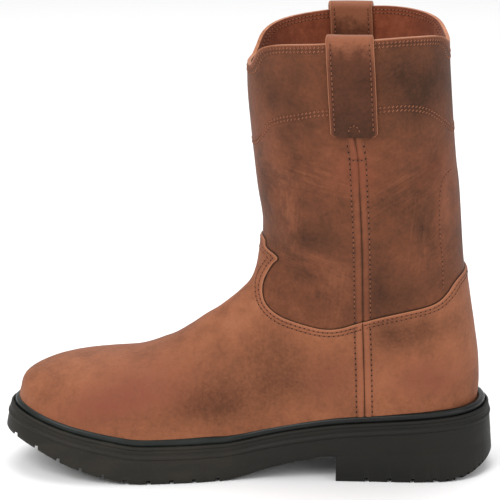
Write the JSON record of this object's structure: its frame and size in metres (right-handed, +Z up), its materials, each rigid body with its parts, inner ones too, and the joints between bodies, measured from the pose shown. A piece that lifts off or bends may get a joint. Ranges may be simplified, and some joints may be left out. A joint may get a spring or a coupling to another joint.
{
  "type": "western work boot",
  "caption": "Pull-on western work boot of oiled leather with a scalloped topline, folded pull straps, a storm welt and a lugged rubber sole with a block heel.",
  "frame": {"origin": "on the floor under the middle of the heel's length, on the heel's flat rest", "axes": "+Z up, +X from the toe to the heel's back, -Y towards the medial side (the inside of a right foot)"},
  "size_m": [0.3038, 0.1162, 0.2843],
  "materials": {
    "upper_leather": "oiled nubuck, matte, mottled brown",
    "strap_leather": "oiled nubuck, matte, darker brown",
    "insole_board": "plain, matte",
    "welt_rubber": "smooth, low gloss",
    "midsole_rubber": "fine ribbed, matte",
    "tread_rubber": "moulded, matte"
  },
  "bodies": {
    "root": {"upper": "upper_leather", "insole": "insole_board", "welt": "welt_rubber", "midsole": "midsole_rubber", "outsole": "tread_rubber", "heel": "tread_rubber", "pull_strap_medial": "strap_leather", "pull_strap_lateral": "strap_leather"}
  },
  "joints": []
}
